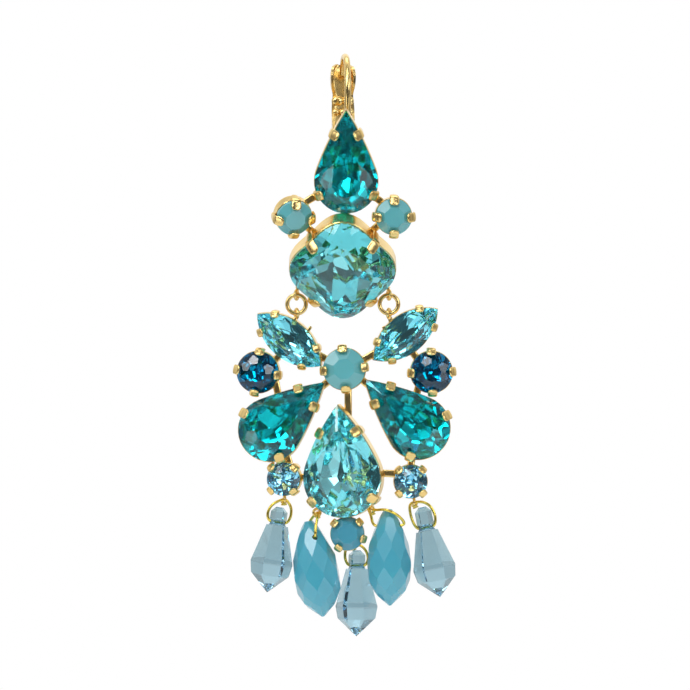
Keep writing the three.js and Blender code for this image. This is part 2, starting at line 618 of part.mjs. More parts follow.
const hingeHole = solidOf(rod(PIVOT.hole, 3, PIVOT.y, PIVOT.z), hookTurn);
const upperFrame = frameSolid(UPPER, UPPER_BARS, [...earHook(), ...cushionEyes()]).subtract(hingeHole);
addPiece("upper_frame", geometryOf(upperFrame), GILT);
addPiece("lower_frame", geometryOf(frameSolid(LOWER, LOWER_BARS, pendantEyes())), GILT);
addPiece("lever", geometryOf(leverSolid()), GILT, hookTurn);
addPiece("pivot_pin", rod(PIVOT.pin, 1.65, PIVOT.y, PIVOT.z, 10), GILT, hookTurn);

for (const { name, x } of JUMP_RINGS) {
  const ring = new THREE.TorusGeometry(RING.radius, RING.wire, 5, 14).rotateX(RIGHT_ANGLE);
  addPiece(name, ring, GILT, new THREE.Matrix4().makeTranslation(x, SWING.y, SWING.z - RING.radius));
}
for (const row of [...UPPER, ...LOWER]) {
  const crystal = new THREE.MeshStandardMaterial(row.stone);
  addPiece(`${row.name}_stone`, stoneGeometry(CUTS[row.cut]), crystal, seatMatrix(row));
}
for (const drop of DROPS) {
  const colour = new THREE.MeshStandardMaterial(DROP_KINDS[drop.kind].colour);
  addPiece(drop.name, geometryOf(dropSolid(drop)), colour, dropMatrix(drop));
  addPiece(`${drop.name}_wire`, wireGeometry(drop), GILT, dropMatrix(drop));
}

export default earring;
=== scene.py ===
from math import atan2, cos, pi, radians, sin

import bmesh
import bpy
from mathutils import Matrix, Vector


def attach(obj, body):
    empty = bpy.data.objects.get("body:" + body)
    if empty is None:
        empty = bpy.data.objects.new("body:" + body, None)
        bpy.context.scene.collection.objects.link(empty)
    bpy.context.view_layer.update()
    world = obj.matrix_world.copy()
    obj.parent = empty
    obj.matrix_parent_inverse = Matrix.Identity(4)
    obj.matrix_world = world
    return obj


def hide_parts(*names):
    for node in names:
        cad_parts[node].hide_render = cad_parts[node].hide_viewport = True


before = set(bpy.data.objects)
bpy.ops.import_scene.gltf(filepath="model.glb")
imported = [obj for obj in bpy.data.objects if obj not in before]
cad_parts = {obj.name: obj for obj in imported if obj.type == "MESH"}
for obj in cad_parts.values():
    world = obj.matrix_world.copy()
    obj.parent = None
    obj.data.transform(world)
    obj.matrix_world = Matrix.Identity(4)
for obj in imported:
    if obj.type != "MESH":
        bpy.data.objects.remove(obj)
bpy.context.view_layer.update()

# ---------------------------------------------------------------- ear hook
# The lever-back's front wire: round brass wire, gilt and polished, bent over the ear. Its flat base
# curves back to a hinge knuckle, and a block of solder joins it to the back of the top setting.

# Shapes are worked out in millimetres, and the scene is in metres.
MM = 0.001


def linear(hexa):
    """An sRGB hex colour as linear values."""
    parts = [int(hexa[i:i + 2], 16) / 255 for i in (1, 3, 5)]
    return (*[p / 12.92 if p <= 0.04045 else ((p + 0.055) / 1.055) ** 2.4 for p in parts], 1)


def node(tree, kind, settings=None, links=None):
    """Adds a shader node, sets its properties and sockets, and links others to its sockets."""
    made = tree.nodes.new("ShaderNode" + kind)
    for key, value in (settings or {}).items():
        if isinstance(key, int) or key in made.inputs:
            made.inputs[key].default_value = value
        else:
            setattr(made, key, value)
    for key, source in (links or {}).items():
        tree.links.new(source, made.inputs[key])
    return made


def grain(size):
    """The scale of a noise whose patches are a size in millimetres."""
    return 1 / (size * MM)


def shader(name, settings):
    """A new material, its node tree, and its Principled shader with these settings."""
    made = bpy.data.materials.new(name)
    made.use_nodes = True
    surface = made.node_tree.nodes["Principled BSDF"]
    for key, value in settings.items():
        surface.inputs[key].default_value = value
    return made, made.node_tree, surface


# The Mix node's colour sockets share their names with its others, so they go by number.
MIX_FACTOR, MIX_A, MIX_B, MIX_RESULT = 0, 6, 7, 2


def drifting(tree, surface, size, detail, dark, light):
    """Lets the base colour drift between two tones, in patches of a size in millimetres. Returns the
    place that its noise is drawn at, for further noise."""
    place = node(tree, "TexCoord").outputs["Object"]
    cloud = node(tree, "TexNoise", {"Scale": grain(size), "Detail": detail}, {"Vector": place})
    colour = node(tree, "Mix", {"data_type": "RGBA", MIX_A: linear(dark), MIX_B: linear(light)},
                  {MIX_FACTOR: cloud.outputs["Fac"]})
    tree.links.new(colour.outputs[MIX_RESULT], surface.inputs["Base Color"])
    return place


def polished(name, light, dark, smooth, rough):
    """Polished plated metal: a drifting tone, fine scuffs in its gloss, and a faint casting ripple."""
    made, tree, surface = shader(name, {"Metallic": 1})
    place = drifting(tree, surface, 2.4, 3.0, dark, light)
    scuff = node(tree, "TexNoise", {"Scale": grain(0.38), "Detail": 4.0}, {"Vector": place})
    gloss = node(tree, "MapRange", {"To Min": smooth, "To Max": rough}, {"Value": scuff.outputs["Fac"]})
    tree.links.new(gloss.outputs["Result"], surface.inputs["Roughness"])
    ripple = node(tree, "TexNoise", {"Scale": grain(1.1), "Detail": 2.0}, {"Vector": place})
    bump = node(tree, "Bump", {"Strength": 0.3, "Distance": 0.03 * MM}, {"Height": ripple.outputs["Fac"]})
    tree.links.new(bump.outputs["Normal"], surface.inputs["Normal"])
    return made


# Gilt plating over brass: warm and bright, with a soft drift towards a deeper tone. The scuffs are
# drawn coarser than real polishing marks, so that they show in the gloss.
gilt = polished("gilt_plating", "#fbe2a0", "#e8c374", 0.17, 0.3)


def loft(rings, round_trip=False):
    """Points and faces of a skin over rings of points, closed at both ends."""
    count = len(rings[0])
    points = [p for ring in rings for p in ring]
    faces = []
    for i in range(len(rings) if round_trip else len(rings) - 1):
        a, b = i * count, (i + 1) % len(rings) * count
        faces += [(a + j, a + (j + 1) % count, b + (j + 1) % count, b + j) for j in range(count)]
    if not round_trip:
        faces += [tuple(range(count))[::-1], tuple(range(len(points) - count, len(points)))]
    return points, faces


def spline(points, steps, closed=False):
    """A smooth curve through the points."""
    points = [Vector(p) for p in points]
    last = len(points) if closed else len(points) - 1
    made = []
    for i in range(last):
        if closed:
            a, b, c, d = [points[(i + k) % len(points)] for k in (-1, 0, 1, 2)]
        else:
            a, b, c, d = [points[min(max(i + k, 0), last)] for k in (-1, 0, 1, 2)]
        for t in [k / steps for k in range(steps)]:
            made.append(0.5 * (2 * b + (c - a) * t + (2 * a - 5 * b + 4 * c - d) * t * t
                               + (3 * b - a - 3 * c + d) * t ** 3))
    return made if closed else made + [points[-1]]


def superellipse(width, depth, power, sides):
    """A section that is round at power 2 and a softened box above it."""
    made = []
    for i in range(sides):
        c, s = cos(2 * pi * (i + 0.5) / sides), sin(2 * pi * (i + 0.5) / sides)
        x, y = (abs(v) ** (2 / power) * (1 if v > 0 else -1) for v in (c, s))
        made.append((width / 2 * x, depth / 2 * y))
    return made


def sweep(path, sections, across=None, round_trip=False):
    """Sections carried along a path. across is the way that a section's width lies, if it is fixed."""
    path = [Vector(p) for p in path]
    n = len(path)
    side = Vector(across) if across else None
    rings = []
    for i, p in enumerate(path):
        if round_trip:
            before, after = path[i - 1], path[(i + 1) % n]
        else:
            before, after = path[max(i - 1, 0)], path[min(i + 1, n - 1)]
        tangent = (after - before).normalized()
        if side is None:
            side = tangent.orthogonal()
        held = Vector(across) if across else side
        side = (held - held.dot(tangent) * tangent).normalized()
        up = side.cross(tangent)
        section = sections[i] if isinstance(sections[0], list) else sections
        rings.append([p + side * u + up * v for u, v in section])
    return loft(rings, round_trip)


def wire(points, radius, steps=8, closed=False, sides=12):
    """A round wire along a smooth curve, with softened ends if it is open."""
    path = spline(points, steps, closed)
    if closed:
        return sweep(path, superellipse(2 * radius, 2 * radius, 2, sides), round_trip=True)
    # its first and last steps narrow to about half, as a cut and filed end does
    swell = [min(1, 0.55 + 0.45 * min(i, len(path) - 1 - i) / 1.5) for i in range(len(path))]
    return sweep(path, [superellipse(2 * radius * w, 2 * radius * w, 2, sides) for w in swell])


def bar(start, end, width, depth):
    """A straight bar with softened edges and ends."""
    start, end = Vector(start), Vector(end)
    along = end - start
    side = along.cross(Vector((0, 1, 0))).normalized()
    # shares of its length, and how much of its full section is left at each
    shares = [0, 0.012, 0.04, 0.5, 0.96, 0.988, 1]
    swell = [0.86, 0.95, 1, 1, 1, 0.95, 0.86]
    sections = [superellipse(width * w, depth * w, 5, 20) for w in swell]
    return sweep([start + along * s for s in shares], sections, across=side)


def upright(pairs):
    """(y, z) pairs as points."""
    return [Vector((0, y, z)) for y, z in pairs]


def tube_x(radius, inner, half, centre):
    """A short tube along X, softened at its rims."""
    sides, soft = 32, 0.06
    profile = [(inner, -half), (radius - soft, -half), (radius, -half + soft), (radius, half - soft),
               (radius - soft, half), (inner, half)]
    rings = []
    for i in range(sides):
        c, s = cos(2 * pi * i / sides), sin(2 * pi * i / sides)
        rings.append([centre + Vector((x, r * c, r * s)) for r, x in profile])
    return loft(rings, True)


# The hook seen from the side, as (y, z): its wire from behind the top setting over the ear to its
# free tip, and its flat base from there to the knuckle on the pivot.
HOOK = [(-0.6, -12.3), (-1.1, -10.9), (-1.9, -9.5), (-2.9, -7.7), (-3.7, -5.9), (-4.1, -4.3),
        (-4.05, -2.9), (-3.5, -1.4), (-2.4, -0.2), (-1.2, 0.28), (0, 0.42), (1.1, 0.3), (2.05, -0.25),
        (2.75, -1.0), (3.15, -1.9)]
BASE = [(-0.95, -11.5), (-0.5, -12.7), (0.2, -13.5), (1.1, -13.8), (1.85, -13.3), (2.1, -12.2)]
HOOK_WIRE_RADIUS = 0.42
PIVOT = Vector((0, 2.1, -11.7))
# The whole lever-back is turned a little against the settings.
HOOK_TURN = Matrix.Rotation(radians(5), 4, "Z")
hook = [
    wire(upright(HOOK), HOOK_WIRE_RADIUS, sides=16),
    sweep(spline(upright(BASE), 6), superellipse(1.9, 0.5, 4, 20), across=(1, 0, 0)),
    tube_x(0.78, 0.44, 0.95, PIVOT),
    bar((0, -1.65, -14.2), (0, -1.8, -11.9), 1.9, 1.9),
]

# ---------------------------------------------------------------- top settings
# Four stones sit in pressed brass cups with a straight wall and a tapered back, and claws are bent
# over their edges. Bars behind the cups, two eyes below and the hook are soldered on and gilt as one.


def arc(cx, cy, r, start, end, steps):
    """Points along an arc, the last one left out."""
    turn = [start + (end - start) * i / steps for i in range(steps)]
    return [Vector((cx + r * cos(t), cy + r * sin(t))) for t in turn]


def round_outline(width):
    """A circle."""
    return arc(0, 0, width / 2, 0, 2 * pi, 48)


def pear_outline(width, length, tip_angle):
    """A round end about the origin, and two long arcs that cross at the tip."""
    r, tip, angle = width / 2, length - width / 2, radians(tip_angle)
    side = (tip * tip - r * r) / (2 * (tip * sin(angle) - r))
    cx, cy = -side * cos(angle), tip - side * sin(angle)
    meet = atan2(-cy, -cx)
    right = arc(cx, cy, side, meet, angle, 12)
    left = [Vector((-p.x, p.y)) for p in reversed(right[1:])]
    return right + [Vector((0, tip))] + left + arc(0, 0, r, pi - meet, 2 * pi + meet, 24)


def cushion_outline(width, roundness):
    """A square on its corner, with bowed sides and well rounded corners."""
    turn = [2 * pi * i / 56 for i in range(56)]
    away = [width / 2 * (1 - roundness * sin(2 * t) ** 2) for t in turn]
    return [Vector((w * cos(t), w * sin(t))) for w, t in zip(away, turn)]


def cut(outline, mains, crown_slope, crown, pavilion_slope, pavilion, prongs, prong):
    """A stone's cut, with the claws that hold it."""
    return dict(outline=outline, mains=mains, crown_slope=crown_slope, crown=crown,
                pavilion_slope=pavilion_slope, pavilion=pavilion, prongs=prongs, prong=prong)


# Standard cuts, in millimetres and degrees: the outline, the ways that the large facets face (90 is
# towards the tip), the slope and height of the crown and of the pavilion behind the girdle, the ways
# that the claws stand, and a claw's width and length.
EIGHT = [0, 45, 90, 135, 180, 225, 270, 315]
CROSS = [0, 90, 180, 270]
CUTS = {
    "pear": cut(pear_outline(8.0, 13.1, 32), [26, -18, -54, -90, -126, -162, 154],
                36, 1.35, 38, 2.9, [75, 105, -25, -155], (1.3, 1.5)),
    "cushion": cut(cushion_outline(13.4, 0.15), EIGHT,
                   40, 1.9, 38, 3.9, [45, 135, 229, 311], (1.35, 1.85)),
    "top_round": cut(round_outline(4.6), EIGHT, 34, 0.85, 40, 1.8, CROSS, (1.25, 1.4)),
}
# One row for each set stone: its name, cut and glass, its place in millimetres, then in degrees its
# turn (which way its tip points, anticlockwise from up), pitch (face tipped down) and yaw (face turned
# to the right), and the ways that its claws stand where they aren't its cut's own.
UPPER = [
    ("top_pear", "pear", "teal", (0.15, -5.2, -15.55), (0, 11, 0), None),
    ("top_round_left", "top_round", "turquoise", (-6.4, -5.0, -20.05), (2, 26, 14), None),
    ("top_round_right", "top_round", "turquoise", (6.15, -5.0, -19.9), (0, 8, 4), None),
    ("cushion", "cushion", "aqua", (-0.3, -3.9, -26.7), (0, 28, 0), None),
]


def seat(row):
    """From a stone's own frame, its face towards +Z, to its place."""
    (x, y, z), (turn, pitch, yaw) = row[3], row[4]
    return (Matrix.Translation((x, y, z)) @ Matrix.Rotation(radians(yaw), 4, "Z")
            @ Matrix.Rotation(pi / 2 + radians(pitch), 4, "X") @ Matrix.Rotation(radians(turn), 4, "Z"))


def grown(outline, distance):
    """The outline moved outwards."""
    made = []
    for i, p in enumerate(outline):
        a = (p - outline[i - 1]).normalized()
        b = (outline[(i + 1) % len(outline)] - p).normalized()
        out = Vector((a.y + b.y, -a.x - b.x)).normalized()
        spread = max(out.x * a.y - out.y * a.x, 0.55)
        made.append(p + out * distance / spread)
    return made


def level(outline, z, scale=1.0):
    """The outline as a ring of points at a height."""
    return [Vector((p.x * scale, p.y * scale, z)) for p in outline]


def bar_depth(cut):
    """How far behind the girdle a cup's straight wall ends and its bars run."""
    return 0.55 * cut["pavilion"] + 0.6


def cup(cut):
    """A cup, from the middle of its tapered back up its wall, over its rim and down inside."""
    outline = cut["outline"]
    deep, back = bar_depth(cut), cut["pavilion"] + 0.4
    wall, lip = grown(outline, 0.07), grown(outline, 0.02)
    # each ring: its outline, its height from the girdle, and how much of the outline's size it has
    tapered = [level(outline, -back, 0.2), level(outline, -back, 0.40), level(outline, -back + 0.06, 0.43)]
    straight = [level(wall, -deep - 0.1, 0.985), level(wall, -deep), level(wall, -deep + 0.2),
                level(wall, -0.44), level(wall, -0.36)]
    rim = [level(lip, -0.31), level(outline, -0.31, 0.985)]
    inside = [level(outline, -0.42, 0.97), level(outline, 0.1 - deep, 0.93),
              level(outline, 0.22 - back, 0.38)]
    return loft(tapered + straight + rim + inside)


def edge_at(outline, azimuth):
    """Where a ray from the middle leaves the outline, and which way the edge faces there."""
    ray = Vector((cos(azimuth), sin(azimuth)))
    for i, a in enumerate(outline):
        edge = outline[(i + 1) % len(outline)] - a
        cross = ray.x * edge.y - ray.y * edge.x
        if abs(cross) < 1e-9:
            continue
        along = (a.x * edge.y - a.y * edge.x) / cross
        share = (a.x * ray.y - a.y * ray.x) / cross
        if along > 0 and 0 <= share < 1:
            return ray * along, atan2(-edge.x, edge.y)


def moved(shape, matrix):
    """A shape carried to a place."""
    points, faces = shape
    return [matrix @ p for p in points], faces


def claw(cut, azimuth):
    """A claw: a tab with a rounded tip, which rises from the wall and is bent over the stone's edge."""
    at, facing = edge_at(cut["outline"], radians(azimuth))
    width, length = cut["prong"]
    slope = radians(cut["crown_slope"] + 4)
    thick, foot, bend, gap = 0.36, 0.55 * cut["pavilion"], 0.22, 0.10
    inner = gap + thick / 2
    lean = Vector((-cos(slope), 0, sin(slope)))
    over = Vector((inner - 0.1, 0, bend + 0.3))
    path = spline([(inner, 0, -foot), (inner + 0.02, 0, -0.4), (inner + 0.03, 0, 0.12), over,
                   over + lean * (length - 0.35) * 0.5, over + lean * (length - 0.3)], 6)
    n = len(path) - 1
    sections = []
    for i in range(n + 1):
        t = i / n
        # it widens a little from foot to tip, and the last fifth of it is rounded off
        tip = max(0, (t - 0.8) / 0.2)
        blunt = (1 - tip ** 2.4) ** 0.5 * 0.93 + 0.07
        wide = width * (0.86 + 0.16 * t) * min(1, 0.75 + 2 * t) * blunt
        sections.append(superellipse(wide, thick * (0.45 + 0.55 * blunt), 2.5, 18))
    place = Matrix.Translation((at.x, at.y, 0)) @ Matrix.Rotation(facing, 4, "Z")
    return moved(sweep(path, sections, across=(0, 1, 0)), place)


def settings(rows):
    """The cups and claws of some rows of stones."""
    made = []
    for row in rows:
        style = CUTS[row[1]]
        shapes = [cup(style)] + [claw(style, azimuth) for azimuth in row[5] or style["prongs"]]
        made += [moved(shape, seat(row)) for shape in shapes]
    return made


def behind(rows, name):
    """The middle of the back of a setting."""
    row = next(r for r in rows if r[0] == name)
    return seat(row) @ Vector((0, 0, -bar_depth(CUTS[row[1]])))


BAR_WIDTH, BAR_THICKNESS = 0.95, 0.8


def bars(rows, joins):
    """Short flat bars behind the settings: between which two, the bar's middle (x, z) and its length."""
    made = []
    for start, end, x, z, length in joins:
        a, b = behind(rows, start), behind(rows, end)
        half = (b - a).normalized() * length / 2
        middle = Vector((x, (a.y + b.y) / 2, z))
        made.append(bar(middle - half, middle + half, BAR_WIDTH, BAR_THICKNESS))
    return made


def ring(centre, axis, radius, thick):
    """A round wire ring about an axis; thick is the wire's own radius."""
    centre, axis = Vector(centre), Vector(axis).normalized()
    u = axis.orthogonal().normalized()
    v = axis.cross(u)
    steps, section = 36, superellipse(2 * thick, 2 * thick, 2, 12)
    rings = []
    for i in range(steps):
        out = u * cos(2 * pi * i / steps) + v * sin(2 * pi * i / steps)
        rings.append([centre + out * (radius + a) + axis * b for a, b in section])
    return loft(rings, True)


# Edges sharper than this stay crisp in a smooth surface.
SHARP = radians(35)


def piece(name, shapes, look, body, stands_for):
    """One mesh piece from several shapes, in metres, that rides on a body."""
    mesh = bpy.data.meshes.new(name)
    points, faces = [], []
    for shape_points, shape_faces in shapes:
        faces += [tuple(i + len(points) for i in f) for f in shape_faces]
        points += [p * MM for p in shape_points]
    mesh.from_pydata(points, [], faces)
    mesh.materials.append(look)
    mesh.shade_smooth()
    mesh.set_sharp_from_angle(angle=SHARP)
    made = bpy.data.objects.new(name, mesh)
    bpy.context.scene.collection.objects.link(made)
    work = bmesh.new()
    work.from_mesh(mesh)
    bmesh.ops.recalc_face_normals(work, faces=work.faces)
    work.to_mesh(mesh)
    work.free()
    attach(made, body)
    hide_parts(*stands_for)


upper_bars = bars(UPPER, [
    ("top_pear", "top_round_left", -4.6, -17.8, 3.6),
    ("top_pear", "top_round_right", 4.2, -17.7, 3.6),
    ("top_round_left", "cushion", -4.4, -21.5, 3.2),
    ("top_round_right", "cushion", 3.9, -21.2, 3.2),
    ("top_pear", "cushion", 0.1, -19.9, 4),
])
# The pendant swings about the middle of these eyes; each jump ring hangs at its own x.
SWING = Vector((0, -1.35, -29.72))
RINGS = {"jump_ring_left": -6.12, "jump_ring_right": 5.55}
# The eyes stand askew: their axes lie mainly along X and lean towards Y by this share.
EYE_RADIUS, EYE_WIRE_RADIUS, EYE_TILT = 0.56, 0.2, 0.34
upper_eyes = []
for x in RINGS.values():
    eye = Vector((x, SWING.y, SWING.z))
    upper_eyes += [ring(eye, (x, EYE_TILT * abs(x), 0), EYE_RADIUS, EYE_WIRE_RADIUS),
                   bar(eye + Vector((0, 0, 0.71)), (0.66 * x, SWING.y, SWING.z + 2.4), 0.6, 0.6)]
upper_metal = [moved(shape, HOOK_TURN) for shape in hook] + settings(UPPER) + upper_bars + upper_eyes
piece("upper_settings_and_hook", upper_metal, gilt, "upper", ["upper_frame"])

# ---------------------------------------------------------------- pivot pin and lever
# The lever is a stamped brass trough: a tulip of two leaves guards the hook's tip, two beaded collars
# cross it, and its rails run down to a round boss on the pivot pin, which is riveted at both ends.


def channel(width, height, thick):
    """A U section with rounded corners, about the middle of its web."""
    bend = min(0.4, height * 0.8)
    half = width / 2
    right = [(half, height), (half, (height + bend) / 2), (half, bend)]
    right += [(half - bend + bend * cos(a), bend - bend * sin(a)) for a in (0.52, 1.05, pi / 2)] + [(0, 0)]
    line = [Vector(p) for p in right] + [Vector((-u, v)) for u, v in reversed(right[:-1])]
    outside, inside = [], []
    for i, p in enumerate(line):
        along = (line[min(i + 1, len(line) - 1)] - line[max(i - 1, 0)]).normalized()
        off = Vector((along.y, -along.x)) * thick / 2
        outside.append(p - off)
        inside.append(p + off)
    return [tuple(p) for p in outside + inside[::-1]]


def plate(pairs, inner, outer):
    """A plate with softened edges between two values of x, from a (y, z) outline."""
    flat = spline([(y, z, 0) for y, z in pairs], 5, True)
    centre = sum(flat, Vector()) / len(flat)
    rings, soft = [], 0.08
    for x, shrink in ((inner, 0.93), (inner + soft, 1), (outer - soft, 1), (outer, 0.93)):
        rings.append([Vector((x, *(centre + (p - centre) * shrink)[:2])) for p in flat])
    return loft(rings)


def bead(centre, size, power=2.6):
    """A rounded bead, middled on a point; a higher power makes it squarer."""
    rings = []
    for k in range(1, 12):
        a = pi * (k / 12 - 0.5)
        rise, swell = sin(a), cos(a) ** (2 / power)
        rings.append([Vector(centre) + Vector((u, v, size[2] / 2 * rise))
                      for u, v in superellipse(size[0] * swell, size[1] * swell, power, 20)])
    return loft(rings)


# Along the lever: (y, z) of its back, the trough's width and the height of its rails.
TROUGH = [(0.75, -11.0, 2.1, 0.5), (1.4, -10.6, 2.3, 0.7), (2.2, -9.6, 2.4, 0.8), (2.85, -8.2, 2.5, 0.8),
          (3.25, -6.7, 2.6, 0.5), (3.45, -5.4, 2.5, 0.42), (3.6, -4.4, 2.3, 0.5), (3.78, -3.4, 2.7, 1.35),
          (3.98, -2.4, 2.85, 1.75), (4.18, -1.5, 2.7, 1.5), (4.38, -0.9, 2.2, 0.9), (4.5, -0.5, 1.4, 0.45)]
TROUGH_WALL = 0.32
# The cheek on each side of the knuckle, with its boss, as (y, z).
CHEEK = [(3.4, -6.9), (2.75, -6.9), (2.3, -8.2), (1.7, -9.8), (1.2, -11.2), (1.2, -12.0),
         (1.7, -12.6), (2.5, -12.6), (3.0, -12.0), (3.15, -10.8), (3.45, -8.8)]
spine = spline([(y, z, 0) for y, z, _, _ in TROUGH], 5)
girths = spline([(width, height, 0) for _, _, width, height in TROUGH], 5)
lever = [sweep([(0, p.x, p.y) for p in spine],
               [channel(width, height, TROUGH_WALL) for width, height, _ in girths], across=(1, 0, 0))]
LOW_BEAD = (0.98, 1.1, 0.95)
for side in (-1, 1):
    inner, outer = sorted((side * 1.02, side * 1.4))
    lever.append(plate(CHEEK, inner, outer))
    lever.append(bead((side * 0.68, 3.34, -5.05), (1.5, 1.2, 1.25), 3))
    lever.append(bead((side * 0.92, 3.08, -6.5), LOW_BEAD))
lever.append(bead((0, 3.08, -6.5), LOW_BEAD))
piece("lever_dressed", [moved(shape, HOOK_TURN) for shape in lever], gilt, "lever", ["lever"])

# Along the pin: x and its diameter, with a domed rivet head at each end.
PIN = [(-1.72, 0.5), (-1.66, 0.8), (-1.52, 1.05), (-1.42, 1.1), (-1.4, 0.62), (1.4, 0.62), (1.42, 1.1),
       (1.52, 1.05), (1.66, 0.8), (1.72, 0.5)]
pin = sweep([PIVOT + Vector((x, 0, 0)) for x, _ in PIN],
            [superellipse(width, width, 2, 24) for _, width in PIN], across=(0, 1, 0))
piece("pivot_pin_dressed", [moved(pin, HOOK_TURN)], gilt, "upper", ["pivot_pin"])

# ---------------------------------------------------------------- jump rings
# Two round rings of gilt brass wire, bent shut, hang in the upper frame's eyes and carry the pendant
# by its own eyes, which stand a little askew.

RING_RADIUS, RING_WIRE_RADIUS = 1.18, 0.28
for name, x in RINGS.items():
    centre = (x, SWING.y, SWING.z - RING_RADIUS)
    hoop = ring(centre, (0, 1, 0), RING_RADIUS, RING_WIRE_RADIUS)
    piece(name + "_dressed", [hoop], gilt, "pendant", [name])

# ---------------------------------------------------------------- lower frame
# The pendant's eleven brass settings with their bars, the two eyes for the rings, and the small lugs
# that the drops' wires pass through, all soldered into one piece and gilt.


def navette_outline(width, length):
    """Two equal arcs that cross at both tips."""
    a, b = length / 2, width / 2
    side = (a * a + b * b) / (2 * b)
    half = atan2(a, side - b)
    right = arc(b - side, 0, side, -half, half, 20)
    return right + [-p for p in right]


CUTS["big_pear"] = cut(pear_outline(9.9, 14.2, 42), [34, -4, -38, -90, -142, -176, 146],
                       38, 1.6, 36, 3.1, [67, 113, -35, -145], (1.35, 1.6))
CUTS["navette"] = cut(navette_outline(4.9, 10.3), [0, 38, 142, 180, 218, 322],
                      36, 1.0, 40, 1.9, [66, 114, -66, -114], (1.1, 1.05))
CUTS["round"] = cut(round_outline(5.3), EIGHT, 37, 1.0, 42, 2.2, CROSS, (1.25, 1.12))
CUTS["matt_round"] = cut(round_outline(5.3), EIGHT, 29, 0.9, 42, 2.2, CROSS, (1.25, 1.12))
CUTS["small_round"] = cut(round_outline(4.2), EIGHT, 37, 0.8, 42, 1.75, CROSS, (1.1, 1.0))
LOWER = [
    ("navette_left", "navette", "light_aqua", (-7.1, -2.0, -35.45), (50.6, 5, -8), None),
    ("navette_right", "navette", "light_aqua", (7.65, -2.2, -34.75), (-51.5, 3, 3), None),
    ("dark_round_left", "round", "navy", (-11.05, -1.9, -39.5), (-8, 2, -7), None),
    ("dark_round_right", "round", "navy", (10.95, -2.3, -39.5), (2, 2, 2), None),
    ("centre_round", "matt_round", "turquoise", (-0.1, -2.5, -39.1), (5, 0, -3), None),
    ("pear_left", "pear", "teal", (-9.5, -2.5, -46.75), (-49, -3, -4), [75, 105, -21, -163]),
    ("pear_right", "pear", "teal", (9.3, -2.6, -46.5), (48.2, -2, 2), None),
    ("centre_pear", "big_pear", "pale_aqua", (-0.4, -3.3, -52.9), (3.4, 2, -11), None),
    ("small_round_left", "small_round", "sky", (-7.8, -2.2, -53.0), (43, 4, -12), None),
    ("small_round_right", "small_round", "sky", (8.3, -2.9, -53.3), (46, 2, 2), None),
    # The lowest stone takes a bluer turquoise whose darker tone is painted shade.
    ("bottom_round", "small_round", "blue_turquoise", (0.3, -2.3, -59.9), (0, 0, 0),
     [44, 141, 238, 342]),
]
lower_bars = bars(LOWER, [
    ("centre_round", "navette_left", -2.8, -37.6, 3.2),
    ("centre_round", "navette_right", 2.9, -37.6, 3.2),
    ("centre_round", "pear_left", -2.4, -40.9, 3.6),
    ("centre_round", "pear_right", 2.3, -40.6, 3.6),
    ("centre_round", "centre_pear", 0.4, -43.2, 5),
    ("dark_round_left", "navette_left", -8.6, -37.7, 3),
    ("dark_round_right", "navette_right", 8.7, -37.2, 3),
    ("dark_round_left", "pear_left", -8.6, -41.6, 3.4),
    ("dark_round_right", "pear_right", 9.2, -41.7, 3),
    ("pear_left", "small_round_left", -7.2, -50.5, 3),
    ("pear_right", "small_round_right", 8.4, -50.8, 2.8),
    ("small_round_left", "centre_pear", -5.5, -52.8, 2),
    ("small_round_right", "centre_pear", 5.5, -52.3, 3.2),
    ("centre_pear", "bottom_round", 0.2, -57.9, 2.6),
])
lower_fittings = []
eye_height = SWING.z - 2 * RING_RADIUS
for x in RINGS.values():
    lower_fittings += [
        ring((x, SWING.y, eye_height), (x, -EYE_TILT * abs(x), 0), EYE_RADIUS, EYE_WIRE_RADIUS),
        bar((1.02 * x, SWING.y, eye_height - 0.5), (1.08 * x, SWING.y, eye_height - 1.6), 0.6, 0.7)]
# Each drop hangs under a setting from a lug. Its hole lies at the bottom of its wire loop; lean is
# how far its lower end swings to the right, spin turns it and its lug about the upright, bow bends one
# leg of its wire back (forward where it is negative), and neck stretches the loop. In millimetres and
# degrees.
DROPS = {
    "clear_drop_left": dict(under="small_round_left", lug=(-7.65, -1.0, -55.6),
                            hole=(-8.5, -1.0, -58.45), lean=-8.7, spin=8, bow=0, neck=1.9),
    "turquoise_drop_left": dict(under="centre_pear", lug=(-3.55, -1.1, -57.25),
                                hole=(-4.3, -1.1, -60.4), lean=8.7, spin=-72, bow=0, neck=2.1),
    "clear_drop_centre": dict(under="bottom_round", lug=(1.05, 0.3, -61.3),
                              hole=(1.5, 0.3, -63.95), lean=-0.5, spin=-10, bow=0, neck=1.9),
    "turquoise_drop_right": dict(under="centre_pear", lug=(3.45, -1.5, -56.8),
                                 hole=(5.5, -1.7, -58.9), lean=1, spin=-14, bow=-1.3, neck=2.1),
    "clear_drop_right": dict(under="small_round_right", lug=(8.75, -1.5, -55.95),
                             hole=(10.25, -1.5, -59.1), lean=11.4, spin=-4, bow=0, neck=2.6),
}
LUG_RADIUS, LUG_WIRE_RADIUS = 0.46, 0.17
for drop in DROPS.values():
    lug = Vector(drop["lug"])
    toward = (behind(LOWER, drop["under"]) - lug).normalized()
    axis = Matrix.Rotation(radians(drop["spin"]), 3, "Z") @ Vector((1, 0, 0))
    lower_fittings += [ring(lug, axis, LUG_RADIUS, LUG_WIRE_RADIUS),
                       bar(lug + toward * LUG_RADIUS, lug + toward * 2.2, 0.5, 0.5)]
# Short stubs beside the navettes, where the casting's feed was cut off.
for x, inward in ((-4.3, -1), (4.8, 1)):
    lower_fittings.append(bar((x, -1.7, -33.7), (x + 0.6 * inward, -1.7, -34.7), 0.4, 0.5))
lower_metal = settings(LOWER) + lower_bars + lower_fittings
piece("lower_settings", lower_metal, gilt, "pendant", ["lower_frame"])

# ---------------------------------------------------------------- set stones
# Pressed and polished glass. The clear colours are foiled behind, so their backs are mirrors seen
# through the glass; the turquoise ones are opaque, with a wide table. The claws hold them.

